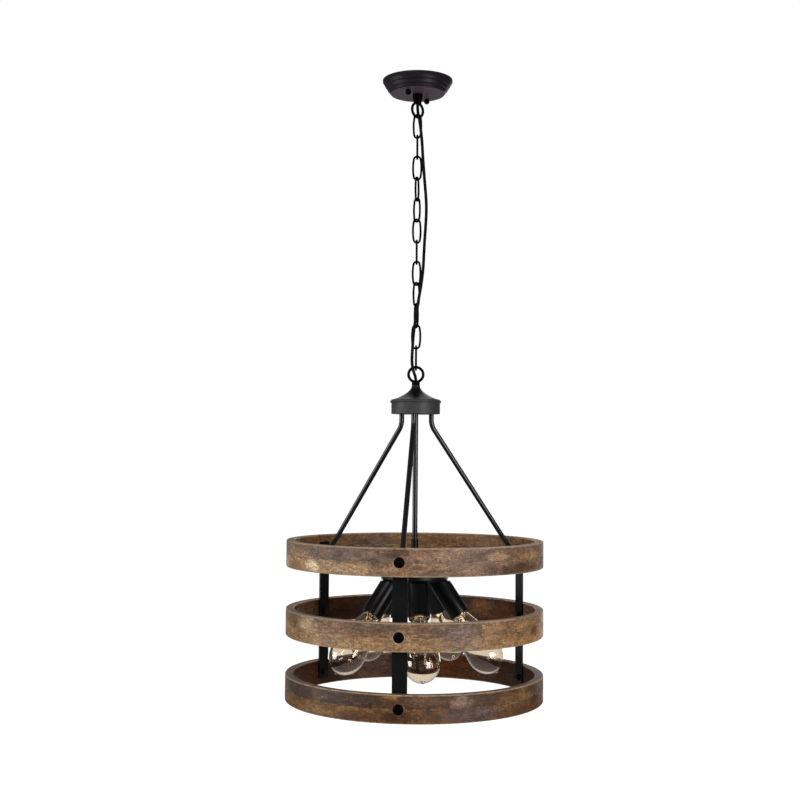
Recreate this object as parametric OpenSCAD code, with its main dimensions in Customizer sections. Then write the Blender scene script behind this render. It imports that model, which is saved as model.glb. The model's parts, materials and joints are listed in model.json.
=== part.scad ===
// Drum chandelier: a canopy, a chain with its supply cord, a hub with three rods,
// three wooden rings on flat straps, and a pan with five lamps.
// Millimetres. The origin is the middle of the canopy's rim, on the ceiling, and +Z is up.
// An azimuth of 0 faces the front, -Y, and grows toward +X.

/* [Canopy] */
// Diameter of the canopy at the ceiling
canopy_d = 127; // [120:1:150]
// Diameter of the canopy's flat face
canopy_face_d = 97; // [92:1:104]
// Height of the canopy
canopy_h = 25.4; // [24:0.2:40]
// Height of the straight rim at the ceiling
canopy_rim_h = 3.6; // [2:0.2:5]
// Sheet thickness of the canopy
canopy_wall = 1.2; // [0.8:0.1:1.8]
// Distance between the two canopy studs
stud_spacing = 69; // [62:1:76]
// Direction of the row of studs, from +X
stud_yaw = 60; // [45:5:135]
// Diameter of a canopy stud
stud_d = 4; // [3:0.5:5]
// Diameter of a ball nut under the canopy
ball_nut_d = 10.4; // [9:0.2:12]

/* [Ceiling bars] */
// Distance between the middles of the two slots for the box screws
slot_spacing = 80; // [74:1:84]
// Length of a slot from end to end
slot_len = 20; // [12:1:22]
// Width of a slot
slot_w = 4.8; // [4:0.1:5.5]
// Length of the bar that is screwed to the ceiling box
ceiling_bar_len = 112; // [108:1:114]
// Width of both bars
bar_w = 14; // [12:1:18]
// Thickness of both bars
bar_t = 2; // [1.6:0.1:3]

/* [Loops] */
// Outer diameter of the two loops that hold the chain
loop_od = 31.4; // [30:0.2:36]
// Thickness of a loop's wire
loop_wire = 5; // [4.4:0.1:5.6]
// Direction of the canopy's loop, from +X
loop_yaw = 42; // [40:1:50]
// Length of the collar under the canopy
collar_len = 16.6; // [15:0.2:24]
// Height of the collar's wider step
collar_step_h = 8.5; // [8:0.5:10]
// Diameter of the collar's wider step
collar_step_d = 18; // [17:0.5:22]
// Diameter of the collar beside the loop
collar_d = 14.5; // [13.5:0.5:16]
// Length of the neck under the lower loop
neck_len = 7.5; // [6.5:0.5:14]
// Diameter of the threaded nipple in the canopy
nipple_d = 9.7; // [9.2:0.1:10.2]

/* [Chain] */
// Thickness of a link's wire
link_wire = 3.8; // [3.2:0.1:4.1]
// Length of a link, outside
link_len = 46.3; // [42:0.1:54]
// Width of a link, outside
link_w = 18.8; // [18.2:0.2:22]
// Bend radius of a link's ends, to the middle of the wire
link_end_r = 6.2; // [5.8:0.1:6.8]
// Turn from one link of the twisted run to the next
link_twist = 67.5; // [66:0.5:70]

/* [Supply cord] */
// Diameter of the cord
cord_d = 5.5; // [4.5:0.1:5.9]

/* [Bell and hub] */
// Diameter of the bell's foot
bell_d = 71; // [62:1:78]
// Height of the bell
bell_h = 23.5; // [18:0.5:32]
// Thickness of the bell's sheet, measured level
bell_wall = 2.2; // [1.6:0.1:2.3]
// Thickness of the lid
lid_t = 3.5; // [2.5:0.1:5]
// Diameter of the hub
hub_d = 87.5; // [84:0.5:100]
// Height of the hub
hub_h = 24; // [22:0.5:34]
// Sheet thickness of the hub's wall
hub_wall = 1.5; // [1:0.1:2]
// Thickness of the hub's floor
hub_floor = 2; // [1.5:0.1:3]
// Thickness of the rolled bead round the hub's upper edge
hub_bead = 5; // [4:0.1:6]
// How far the bead stands out from the hub's wall
hub_bead_out = 2.2; // [1.6:0.1:2.8]
// Diameter of the stem
stem_d = 9.5; // [9:0.1:9.9]
// Distance from the hub's floor to the top of the coupling
coupling_drop = 223; // [190:1:240]
// Length of the coupling
coupling_len = 22; // [18:1:24]
// Diameter of the coupling
coupling_d = 12.6; // [12:0.1:16]

/* [Rods] */
// Diameter of a rod
rod_d = 9; // [7:0.5:10]
// Distance of the rods from the stem's axis, in the hub
rod_r = 31; // [28:0.5:34]
// Slope of the rods from vertical
rod_tilt = 35.7; // [33:0.1:37]
// Straight length of a rod below the hub
rod_straight = 10.5; // [8:0.5:14]
// Radius of a rod's bend, at its centreline
rod_bend_r = 30; // [20:1:36]

/* [Drum] */
// Outer diameter of the wooden rings
drum_d = 457.2; // [440:0.2:480]
// Distance from the hub's floor to the top of the upper ring
drum_drop = 225; // [215:1:235]
// Height of a ring
ring_h = 46.5; // [44:0.5:50]
// Thickness of a ring
ring_t = 15; // [12:0.5:18]
// Radius of the rings' worn edges
ring_edge_r = 2; // [1:0.5:4]
// Height of the gap under the upper ring
upper_gap = 73; // [66:0.5:80]
// Height of the gap under the middle ring
lower_gap = 67.5; // [60:0.5:80]
// Depth of the glue lines between the rings' boards
joint_depth = 0.5; // [0.3:0.1:1]
// Width of the glue lines
joint_w = 0.6; // [0.4:0.1:1]
// Width of a strap
strap_w = 25; // [20:1:30]
// Thickness of a strap
strap_t = 3; // [2:0.5:4]
// Distance from a strap's end to the ring's edge beside it
strap_inset = 13; // [8:0.5:14]
// Diameter of a bolt's domed head
bolt_head_d = 18; // [13:0.5:19]
// Height of a bolt's domed head
bolt_head_h = 4.2; // [3:0.1:6]
// Diameter of a bolt
bolt_d = 6; // [5:0.5:6.5]
// Width of a cap nut across its flats
cap_nut_w = 11; // [10:0.5:12]

/* [Lamps] */
// Diameter of the pan
pan_d = 120; // [112:1:136]
// Height of the pan
pan_h = 30; // [26:1:40]
// Sheet thickness of the pan
pan_wall = 1.5; // [1:0.1:2]
// Radius of the pan's lower edge
pan_edge_r = 5; // [3:0.5:8]
// Distance from the hub's floor to the top of the pan
pan_drop = 267; // [258:1:290]
// Number of degrees that the lamps tilt outward
lamp_tilt = 34; // [28:0.5:36]
// Distance of the lamps from the stem's axis, at the pan
lamp_r = 43; // [40:0.5:46]
// Diameter of a socket cup
cup_d = 36; // [34:0.5:38]
// Length of a socket cup along its axis
cup_len = 70; // [66:1:84]
// Wall of a socket cup
cup_wall = 1.5; // [1:0.1:1.7]
// Diameter of a bulb's screw base
base_d = 26.2; // [25:0.1:26.6]
// Length of a bulb's screw base
base_len = 26; // [24:0.5:28]
// Largest diameter of a bulb
bulb_d = 64; // [56:1:68]
// Diameter of a bulb's neck
bulb_neck_d = 26.4; // [25:0.1:27]
// Length of a bulb's glass
bulb_len = 116; // [100:1:124]
// Length of the bulb's rounded end
bulb_end = 36; // [32:1:44]
// Diameter of the sealed tip on a bulb's end
tip_d = 7; // [5:0.5:9]
// How far the tip stands out
tip_h = 3.6; // [2:0.2:5]
// Thickness of the glass
glass_wall = 0.9; // [0.7:0.1:1.5]

/* [Clearances] */
// Gap between pieces that swing or slide past each other
joint_gap = 0.3; // [0.2:0.05:0.4]
// Gap round a thread, a screw or a rod in its hole
thread_gap = 0.15; // [0.1:0.05:0.25]
// Gap between a strap's edges and the curved wall of a ring
strap_gap = 0.1; // [0.05:0.05:0.2]

/* [Hidden] */
$fn = 96;

black = [0.09, 0.09, 0.1];
dark_grey = [0.22, 0.21, 0.22];
zinc = [0.62, 0.62, 0.6];
brass = [0.72, 0.6, 0.36];
brown_wood = [0.5, 0.39, 0.28];
clear = [0.85, 0.88, 0.9, 0.35];
ivory = [0.86, 0.84, 0.78];

// The directions of the three rods and straps, and of the five lamps
rod_azimuths = [-7, 113, 233];
lamp_azimuths = [5, 77, 149, 221, 293];

// Small fittings, in their usual sizes
locknut_w = 14;
locknut_h = 4;
nut_h = 4.5;
rod_nut_w = 13;
nipple_in = 8;
stem_in = 5;
thread_past = 4;
stud_head_d = 7;
stud_head_h = 1.6;
loop_bite = 3.4;
cap_nut_h = 3.2;
wire_hole_d = 8;
link_weld = 0.02;

// Bores that the cord runs through
cord_bore = cord_d + 2 * joint_gap;
tube_bore = cord_d + 2 * joint_gap + 0.2;

// Heights down the chain
loop_r = (loop_od - loop_wire) / 2;
link_r = (link_w - link_wire) / 2;
link_rise = link_len - link_wire;
link_end_z = link_rise / 2 - link_end_r;
link_side_r = (link_r * link_r + link_end_z * link_end_z - link_end_r * link_end_r) / (2 * (link_r - link_end_r));
link_side_turn = atan2(link_end_z, link_side_r - link_r);
link_pitch = link_rise - link_wire - joint_gap;
loop_seat = loop_od / 2 - loop_bite;
canopy_loop_z = -canopy_h - collar_len - loop_seat;
hook_rise = (loop_wire + link_wire) / 2 + joint_gap;
first_link_z = canopy_loop_z - loop_r + hook_rise - link_rise / 2;
twisted_links = 9;
link_yaws = concat([-link_twist / 3, 90], [for (i = [0:twisted_links - 1]) i * link_twist],
    [(twisted_links - 1) * link_twist + 90]);
last_link = len(link_yaws) - 1;
last_bottom = first_link_z - last_link * link_pitch - link_rise / 2;
fixture_loop_z = last_bottom + hook_rise - loop_r;

// Heights of the hub, the drum and the pan
neck_top = fixture_loop_z - loop_seat;
bell_top = neck_top - neck_len;
lid_top = bell_top - bell_h;
hub_top = lid_top - lid_t;
hub_bottom = hub_top - hub_h;
coupling_top = hub_bottom - coupling_drop;
coupling_mid = coupling_top - coupling_len / 2;
pan_top = hub_bottom - pan_drop;
pan_bottom = pan_top - pan_h;
drum_top = hub_bottom - drum_drop;
ring_tops = [drum_top, drum_top - ring_h - upper_gap, drum_top - 2 * ring_h - upper_gap - lower_gap];
drum_bottom = ring_tops[2] - ring_h;

// The straps lie flat inside the rings and touch them along their edges
drum_r = drum_d / 2;
ring_in_r = drum_r - ring_t;
strap_face = sqrt(pow(ring_in_r, 2) - pow(strap_w / 2, 2)) - strap_gap;
strap_in = strap_face - strap_t;
rod_corner_z = hub_bottom - rod_straight - rod_bend_r * tan(rod_tilt / 2);
rod_reach = (strap_in - rod_r) / sin(rod_tilt) + 2 * rod_d;
// Azimuths of the butt joints: for each ring, its upper and its lower course
butt_joints = [[-7, 70], [28, -42], [-18, 55]];
boards = 4;

// Along a lamp's axis, measured from where it meets the pan's floor
cup_closed = 14;
lamp_seat = cup_len + 1;
liner_end = cup_len - 4;
liner_t = 4;
base_tip = lamp_seat - base_len;
bulb_side = bulb_len - bulb_end;
side_steps = 12;
end_steps = 10;

// The cord's route, from the canopy's collar down beside the chain and into the neck
cord_route = [[0, 0, -36], [0, 0, -42], [0.2, -1.4, -52], [0.6, -3.9, -58], [1.3, -6.6, -64],
    [2.6, -8.3, -70], [3.8, -9.4, -77], [5.2, -9.6, -87], [6.6, -9, -98], [7.9, -8, -110],
    [9, -6.8, -124], [10, -5.6, -140], [11.4, -4.2, -158], [13, -3, -178], [14.8, -2.2, -198],
    [16.4, -2, -218], [17, -2, -238], [16.4, -2, -258], [15.2, -2.2, -278], [14, -2.6, -298],
    [13.1, -3.6, -318], [12.3, -5, -336], [11, -6.8, -354], [9, -8.4, -370], [6.6, -9.6, -386],
    [3.8, -11, -402], [1.6, -12, -418], [-0.8, -12, -434], [-3, -10.8, -449], [-4.8, -9.8, -465],
    [-6, -9.4, -481], [-6.9, -9.6, -497], [-7.3, -9.2, -509], [-6.9, -7.8, -518],
    [-5.9, -6, -524.5], [-4.6, -4.2, -530], [-2.6, -2.4, -535.5], [-0.9, -0.9, -541],
    [0, 0, -547.5], [0, 0, -555]];
cord_sides = 10;

// Turns +X toward an azimuth
module toward(azimuth) {
    rotate([0, 0, azimuth - 90])
        children();
}

// A round tube or bar, from its upper end down
module bar_down(top, bottom, d, bore = 0) {
    difference() {
        translate([0, 0, bottom])
            cylinder(d = d, h = top - bottom);
        if (bore > 0)
            translate([0, 0, bottom - 1])
                cylinder(d = bore, h = top - bottom + 2);
    }
}

// A hexagon nut that stands on the height z
module hex_nut(z, width, height, bore) {
    translate([0, 0, z])
        difference() {
            cylinder(d = width / cos(30), h = height, $fn = 6);
            translate([0, 0, -1])
                cylinder(d = bore, h = height + 2);
        }
}

// A flat bar with round ends, from the height z up
module round_bar(z, length, width, height) {
    translate([0, 0, z])
        linear_extrude(height) {
            square([length - width, width], center = true);
            for (side = [-1, 1])
                translate([side * (length - width) / 2, 0])
                    circle(d = width);
        }
}

// The canopy's stepped side: its outer points, from the rim to the flat face
canopy_side = [[canopy_d / 2, 0], [canopy_d / 2, -canopy_rim_h],
    for (p = [[0.14, 0.25], [0.3, 0.46], [0.46, 0.5], [0.58, 0.72], [0.74, 0.76], [0.88, 0.93]])
        [canopy_d / 2 - p.x * (canopy_d - canopy_face_d) / 2, -p.y * canopy_h],
    [canopy_face_d / 2, -canopy_h], [0, -canopy_h]];

module at_studs() {
    for (side = [-1, 1])
        rotate([0, 0, stud_yaw])
            translate([side * stud_spacing / 2, 0, 0])
                children();
}

module ceiling_bar() {
    color(zinc)
        difference() {
            round_bar(-bar_t, ceiling_bar_len, bar_w, bar_t);
            for (side = [-1, 1])
                translate([side * slot_spacing / 2, 0, 0])
                    round_bar(-bar_t - 1, slot_len, slot_w, bar_t + 2);
            translate([0, 0, -bar_t - 1])
                cylinder(d = bar_w / 2 + 2 * thread_gap, h = bar_t + 2);
        }
}

module stud_bar() {
    color(zinc)
        difference() {
            union() {
                rotate([0, 0, stud_yaw])
                    round_bar(-2 * bar_t, stud_spacing + bar_w, bar_w, bar_t);
                translate([0, 0, -1.5 * bar_t])
                    cylinder(d = bar_w / 2, h = 1.4 * bar_t);
            }
            at_studs()
                translate([0, 0, -2 * bar_t - 1])
                    cylinder(d = stud_d + 2 * thread_gap, h = bar_t + 2);
        }
}

module canopy_studs() {
    color(zinc)
        at_studs() {
            bar_down(-bar_t + stud_head_h, -canopy_h - ball_nut_d * 0.6, stud_d);
            bar_down(-bar_t + stud_head_h, -bar_t, stud_head_d);
        }
}

module canopy() {
    inner = [for (p = canopy_side) [max(p.x - canopy_wall, 0), min(p.y + canopy_wall, 0)]];
    color(black)
        difference() {
            rotate_extrude()
                polygon(concat(canopy_side, [for (i = [len(inner) - 1:-1:1]) inner[i]],
                    [[canopy_d / 2 - canopy_wall, 0]]));
            translate([0, 0, -canopy_h - 1])
                cylinder(d = nipple_d + 2 * thread_gap, h = canopy_wall + 2);
            at_studs()
                translate([0, 0, -canopy_h - 1])
                    cylinder(d = stud_d + 4 * thread_gap, h = canopy_wall + 2);
        }
}

module ball_nuts() {
    color(black)
        at_studs()
            difference() {
                translate([0, 0, -canopy_h - 0.42 * ball_nut_d])
                    sphere(d = ball_nut_d);
                translate([0, 0, -canopy_h])
                    cylinder(d = ball_nut_d, h = ball_nut_d);
                translate([0, 0, -canopy_h - 0.62 * ball_nut_d])
                    cylinder(d = stud_d + 2 * thread_gap, h = ball_nut_d);
            }
}

// A cast loop with a bored collar that rises from it: the wider step is at the collar's far end
module collar_loop(length, step_h, step_d, socket_d, socket_depth) {
    difference() {
        union() {
            rotate([90, 0, 0])
                rotate_extrude()
                    translate([loop_r, 0])
                        circle(d = loop_wire);
            translate([0, 0, loop_seat])
                cylinder(d = collar_d, h = length);
            if (step_h > 0)
                translate([0, 0, loop_seat + length - step_h])
                    cylinder(d = step_d, h = step_h);
        }
        cylinder(d = cord_bore, h = loop_seat + length + 1);
        translate([0, 0, loop_seat + length - socket_depth])
            cylinder(d = socket_d, h = socket_depth + 1);
    }
}

module canopy_loop() {
    color(black)
        translate([0, 0, canopy_loop_z])
            rotate([0, 0, loop_yaw])
                collar_loop(collar_len, collar_step_h, collar_step_d,
                    nipple_d + 2 * thread_gap, nipple_in);
}

module canopy_nipple() {
    color(zinc)
        bar_down(-canopy_h + canopy_wall + locknut_h + thread_past,
            -canopy_h - nipple_in + thread_gap, nipple_d, tube_bore);
}

module canopy_locknut() {
    color(zinc)
        hex_nut(-canopy_h + canopy_wall, locknut_w, locknut_h, nipple_d + 2 * thread_gap);
}

// Wire bent to the radius r in the XZ plane, from one turn to another
module bent_wire(r, from, to) {
    rotate([90, 0, 0])
        rotate([0, 0, from])
            rotate_extrude(angle = to - from)
                translate([r, 0])
                    circle(d = link_wire);
}

// An oval link that stands upright in the XZ plane: two round ends and two bowed sides, with a ball where they meet
module oval_link() {
    turn = link_side_turn;
    for (side = [-1, 1]) {
        translate([0, 0, side * link_end_z])
            bent_wire(link_end_r, turn + 90 - side * 90, 270 - side * 90 - turn);
        translate([side * (link_r - link_side_r), 0, 0])
            bent_wire(link_side_r, 90 - side * 90 - turn, 90 - side * 90 + turn);
        for (up = [-1, 1])
            translate([side * link_end_r * cos(turn), 0, up * (link_end_z + link_end_r * sin(turn))])
                sphere(d = link_wire + link_weld);
    }
}

module chain_link(i) {
    color(black)
        translate([0, 0, first_link_z - i * link_pitch])
            rotate([0, 0, link_yaws[i]])
                oval_link();
}

// The cord: rings of points round the route, each square to it
function along(i) = cord_route[min(i + 1, len(cord_route) - 1)] - cord_route[max(i - 1, 0)];
function unit(v) = v / norm(v);
function cord_ring(i) =
    let (t = unit(along(i)), u = unit(cross([0, 1, 0], t)), v = cross(t, u))
    [for (k = [0:cord_sides - 1])
        cord_route[i] + cord_d / 2 * (cos(360 * k / cord_sides) * u + sin(360 * k / cord_sides) * v)];

module supply_cord() {
    n = len(cord_route);
    points = [for (i = [0:n - 1]) each cord_ring(i)];
    sides = [for (i = [0:n - 2], k = [0:cord_sides - 1])
        let (a = i * cord_sides, b = (k + 1) % cord_sides)
        each [[a + k, a + cord_sides + b, a + cord_sides + k], [a + k, a + b, a + cord_sides + b]]];
    ends = [[for (k = [cord_sides - 1:-1:0]) k], [for (k = [0:cord_sides - 1]) (n - 1) * cord_sides + k]];
    color(black)
        polyhedron(points, concat(sides, ends));
}

module fixture_loop() {
    color(black)
        translate([0, 0, fixture_loop_z])
            rotate([180, 0, 0])
                collar_loop(neck_len, 0, 0, stem_d + 2 * thread_gap, stem_in);
}

// The bell widens as the square of the distance from its top
function bell_r(t) = collar_d / 2 + (bell_d - collar_d) / 2 * t * t;

module bell_cap() {
    steps = 14;
    color(black)
        rotate_extrude()
            polygon([for (i = [0:steps]) [bell_r(i / steps), bell_top - bell_h * i / steps],
                for (i = [steps:-1:0]) [bell_r(i / steps) - bell_wall, bell_top - bell_h * i / steps]]);
}

module hub_lid() {
    hole = stem_d / 2 + thread_gap;
    color(dark_grey)
        rotate_extrude()
            polygon([[hole, hub_top], [hub_d / 2, hub_top], [hub_d / 2, hub_top + lid_t / 3],
                [bell_d / 2 + 0.5, lid_top], [hole, lid_top]]);
}

module hub() {
    color(dark_grey)
        difference() {
            rotate_extrude() {
                translate([0, hub_bottom])
                    square([hub_d / 2, hub_floor]);
                translate([hub_d / 2 - hub_wall, hub_bottom])
                    square([hub_wall, hub_h]);
                translate([hub_d / 2 + hub_bead_out - hub_bead / 2, hub_top - hub_bead / 2])
                    circle(d = hub_bead);
            }
            translate([0, 0, hub_bottom - 1])
                cylinder(d = stem_d + 2 * thread_gap, h = hub_floor + 2);
            for (a = rod_azimuths)
                toward(a)
                    translate([rod_r, 0, hub_bottom - 1])
                        cylinder(d = rod_d + 2 * thread_gap, h = hub_floor + 2);
        }
}

module hub_nuts() {
    color(zinc) {
        hex_nut(hub_top - nut_h, locknut_w, nut_h, stem_d + 2 * thread_gap);
        hex_nut(hub_bottom + hub_floor, locknut_w, nut_h, stem_d + 2 * thread_gap);
    }
}

module center_stem() {
    color(black)
        bar_down(bell_top + stem_in - thread_gap, coupling_mid + thread_gap, stem_d, tube_bore);
}

// A rod in its own plane: up through the hub's floor, round its bend and down to the strap.
// The bend is a hair thicker than the bars, whose ends lie inside it.
module rod(azimuth) {
    rod_top = hub_bottom + hub_floor + nut_h + thread_past;
    lap = 0.4;
    color(black)
        toward(azimuth) {
            translate([rod_r, 0, 0])
                bar_down(rod_top, hub_bottom - rod_straight - lap, rod_d);
            translate([rod_r + rod_bend_r, 0, hub_bottom - rod_straight])
                rotate([90, 0, 0])
                    rotate([0, 0, 180])
                        rotate_extrude(angle = rod_tilt)
                            translate([rod_bend_r, 0])
                                circle(d = rod_d + 0.1);
            difference() {
                translate([rod_r, 0, rod_corner_z])
                    rotate([0, -rod_tilt, 0])
                        bar_down(lap - rod_bend_r * tan(rod_tilt / 2), -rod_reach, rod_d);
                translate([strap_in, -rod_d, drum_bottom])
                    cube([drum_r, 2 * rod_d, hub_bottom - drum_bottom]);
            }
        }
}

module rod_nuts() {
    color(zinc)
        for (a = rod_azimuths)
            toward(a)
                translate([rod_r, 0, 0])
                    hex_nut(hub_bottom + hub_floor, rod_nut_w, nut_h, rod_d + 2 * thread_gap);
}

module stem_coupling() {
    color(black)
        bar_down(coupling_top, coupling_top - coupling_len, coupling_d, stem_d + 2 * thread_gap);
}

module pan_stem() {
    color(black)
        bar_down(coupling_mid - thread_gap, pan_bottom - nut_h - 1, stem_d, tube_bore);
}

// Half the section of a pan whose lower edge is rounded, closed below
module pan_section(r, edge, floor_z) {
    translate([0, floor_z])
        square([r - edge, pan_top - floor_z]);
    translate([0, floor_z + edge])
        square([r, pan_top - floor_z - edge]);
    translate([r - edge, floor_z + edge])
        circle(r = edge);
}

module pan() {
    color(black)
        difference() {
            rotate_extrude()
                pan_section(pan_d / 2, pan_edge_r, pan_bottom);
            rotate_extrude()
                pan_section(pan_d / 2 - pan_wall, pan_edge_r - pan_wall, pan_bottom + pan_wall);
            translate([0, 0, pan_bottom - 1])
                cylinder(d = stem_d + 2 * thread_gap, h = pan_wall + 2);
            for (a = lamp_azimuths)
                toward(a)
                    translate([lamp_r, 0, pan_bottom - 1])
                        cylinder(d = wire_hole_d, h = pan_wall + 2);
        }
}

module pan_cover() {
    color(black)
        bar_down(pan_top + pan_wall, pan_top, pan_d, stem_d + 2 * thread_gap);
}

module pan_nuts() {
    color(zinc) {
        hex_nut(pan_top + pan_wall, locknut_w, nut_h, stem_d + 2 * thread_gap);
        hex_nut(pan_bottom - nut_h, locknut_w, nut_h, stem_d + 2 * thread_gap);
    }
}

// Puts what hangs along -Z on a lamp's axis, from where it meets the pan's floor
module on_lamp(azimuth) {
    toward(azimuth)
        translate([lamp_r, 0, pan_bottom])
            rotate([0, -lamp_tilt, 0])
                children();
}

// A socket cup is a tube that is mitred where it meets the pan
module socket_cup(i) {
    color(black)
        difference() {
            on_lamp(lamp_azimuths[i])
                bar_down(cup_d, -cup_len, cup_d);
            on_lamp(lamp_azimuths[i])
                bar_down(-cup_closed, -cup_len - 1, cup_d - 2 * cup_wall);
            on_lamp(lamp_azimuths[i])
                bar_down(cup_d, -cup_closed - 1, wire_hole_d);
            translate([0, 0, pan_bottom])
                cylinder(d = 2 * pan_d, h = 2 * cup_d);
        }
}

module socket_liners() {
    liner_bore = base_d + 4 * joint_gap;
    color(ivory)
        for (a = lamp_azimuths)
            on_lamp(a)
                difference() {
                    bar_down(-base_tip + liner_t + joint_gap, -liner_end, cup_d - 2 * cup_wall - 2 * joint_gap);
                    bar_down(-base_tip + joint_gap, -liner_end - 1, liner_bore);
                    bar_down(cup_d, -base_tip, wire_hole_d / 2);
                }
}

// The screw base from its tip: the contact, the insulator, five turns of thread and the skirt
module bulb_base(i) {
    r = base_d / 2;
    turns = 5;
    thread_start = 0.24 * base_len;
    thread_pitch = 0.6 * base_len / turns;
    color(brass)
        on_lamp(lamp_azimuths[i])
            rotate_extrude()
                polygon([[0, -base_tip], [r * 0.3, -base_tip], [r * 0.36, -base_tip - 2],
                    [r * 0.84, -base_tip - thread_start + 1],
                    for (k = [0:turns - 1]) each [
                        [r - 0.8, -base_tip - thread_start - k * thread_pitch],
                        [r, -base_tip - thread_start - (k + 0.35) * thread_pitch],
                        [r, -base_tip - thread_start - (k + 0.65) * thread_pitch]],
                    [r - 0.8, -base_tip - thread_start - turns * thread_pitch],
                    [r - 0.2, -lamp_seat + 2], [r - 0.2, -lamp_seat], [0, -lamp_seat]]);
}

// The bulb's radius where its side has run the share t, less the wall w
function side_r(t, w) = bulb_neck_d / 2 - w + (bulb_d - bulb_neck_d) / 2 * pow(sin(90 * t), 1.1);
function glass_line(w, last) = concat(
    [for (k = [0:side_steps]) [side_r(k / side_steps, w), -lamp_seat - bulb_side * k / side_steps]],
    [for (k = [1:end_steps])
        [(bulb_d / 2 - w) * cos(last * k / end_steps),
            -lamp_seat - bulb_side - (bulb_end - w) * sin(last * k / end_steps)]]);

// The tip's share of its width and of its height, from its foot to its point
tip_form = [[0.62, 0.3], [0.42, 0.66], [0.24, 0.92], [0, 1]];
tip_turn = acos(tip_d / bulb_d);

module bulb_glass(i) {
    outer = concat(glass_line(0, tip_turn), [for (share = tip_form)
        [tip_d / 2 * share[0], -lamp_seat - bulb_side - bulb_end * sin(tip_turn) - tip_h * share[1]]]);
    inner = glass_line(glass_wall, 90);
    color(clear)
        on_lamp(lamp_azimuths[i])
            rotate_extrude()
                polygon(concat(outer, [for (k = [len(inner) - 1:-1:0]) inner[k]]));
}

// Half the section of a ring, with its worn edges and the glue line between its two courses
module ring_section() {
    difference() {
        union() {
            translate([0, -ring_h + ring_edge_r])
                square([ring_t, ring_h - 2 * ring_edge_r]);
            translate([ring_edge_r, -ring_h])
                square([ring_t - 2 * ring_edge_r, ring_h]);
            for (x = [ring_edge_r, ring_t - ring_edge_r], y = [-ring_edge_r, ring_edge_r - ring_h])
                translate([x, y])
                    circle(r = ring_edge_r);
        }
        for (x = [0, ring_t])
            translate([x, -ring_h / 2])
                square([2 * joint_depth, joint_w], center = true);
    }
}

module wooden_ring(n) {
    color(brown_wood)
        translate([0, 0, ring_tops[n]])
            difference() {
                rotate_extrude()
                    translate([ring_in_r, 0])
                        ring_section();
                for (course = [0, 1], k = [0:boards - 1], r = [ring_in_r, drum_r])
                    toward(butt_joints[n][course] + 360 * k / boards)
                        translate([r, 0, -ring_h * (0.25 + 0.5 * course)])
                            cube([2 * joint_depth, joint_w, ring_h / 2], center = true);
                for (a = rod_azimuths)
                    toward(a)
                        translate([ring_in_r - 1, 0, -ring_h / 2])
                            rotate([0, 90, 0])
                                cylinder(d = bolt_d + 2 * thread_gap, h = ring_t + 2);
            }
}

module strap(azimuth) {
    top = drum_top - strap_inset;
    bottom = drum_bottom + strap_inset;
    color(black)
        toward(azimuth)
            difference() {
                translate([strap_in, -strap_w / 2, bottom])
                    cube([strap_t, strap_w, top - bottom]);
                for (z = ring_tops)
                    translate([strap_in - 1, 0, z - ring_h / 2])
                        rotate([0, 90, 0])
                            cylinder(d = bolt_d + 2 * thread_gap, h = strap_t + 2);
            }
}

// Puts what points along +Z on a bolt's axis, from the middle of the drum outward
module at_bolts() {
    for (a = rod_azimuths, z = ring_tops)
        toward(a)
            translate([0, 0, z - ring_h / 2])
                rotate([0, 90, 0])
                    children();
}

module ring_bolts() {
    // The sphere whose cap is the head
    ball = (pow(bolt_head_d / 2, 2) + pow(bolt_head_h, 2)) / (2 * bolt_head_h);
    color(black)
        at_bolts() {
            bar_down(drum_r + 0.5, strap_in - cap_nut_h, bolt_d);
            intersection() {
                translate([0, 0, drum_r + bolt_head_h - ball])
                    sphere(r = ball);
                bar_down(drum_r + bolt_head_h, drum_r, bolt_head_d);
            }
        }
}

module ring_nuts() {
    dome_r = cap_nut_w * 0.43;
    color(black)
        at_bolts()
            difference() {
                union() {
                    translate([0, 0, strap_in - cap_nut_h])
                        cylinder(d = cap_nut_w / cos(30), h = cap_nut_h, $fn = 6);
                    translate([0, 0, strap_in - cap_nut_h])
                        sphere(r = dome_r);
                }
                bar_down(strap_in + dome_r, strap_in, cap_nut_w);
                bar_down(strap_in + 1, strap_in - cap_nut_h - thread_gap, bolt_d + 2 * thread_gap);
            }
}

module chain_link_01() { chain_link(0); }
module chain_link_02() { chain_link(1); }
module chain_link_03() { chain_link(2); }
module chain_link_04() { chain_link(3); }
module chain_link_05() { chain_link(4); }
module chain_link_06() { chain_link(5); }
module chain_link_07() { chain_link(6); }
module chain_link_08() { chain_link(7); }
module chain_link_09() { chain_link(8); }
module chain_link_10() { chain_link(9); }
module chain_link_11() { chain_link(10); }
module chain_link_12() { chain_link(11); }

module rod_front() { rod(rod_azimuths[0]); }
module rod_right() { rod(rod_azimuths[1]); }
module rod_left() { rod(rod_azimuths[2]); }

module socket_1() { socket_cup(0); }
module socket_2() { socket_cup(1); }
module socket_3() { socket_cup(2); }
module socket_4() { socket_cup(3); }
module socket_5() { socket_cup(4); }

module bulb_1_glass() { bulb_glass(0); }
module bulb_2_glass() { bulb_glass(1); }
module bulb_3_glass() { bulb_glass(2); }
module bulb_4_glass() { bulb_glass(3); }
module bulb_5_glass() { bulb_glass(4); }

module bulb_1_base() { bulb_base(0); }
module bulb_2_base() { bulb_base(1); }
module bulb_3_base() { bulb_base(2); }
module bulb_4_base() { bulb_base(3); }
module bulb_5_base() { bulb_base(4); }

module ring_top() { wooden_ring(0); }
module ring_middle() { wooden_ring(1); }
module ring_bottom() { wooden_ring(2); }

module strap_front() { strap(rod_azimuths[0]); }
module strap_right() { strap(rod_azimuths[1]); }
module strap_left() { strap(rod_azimuths[2]); }

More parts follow.
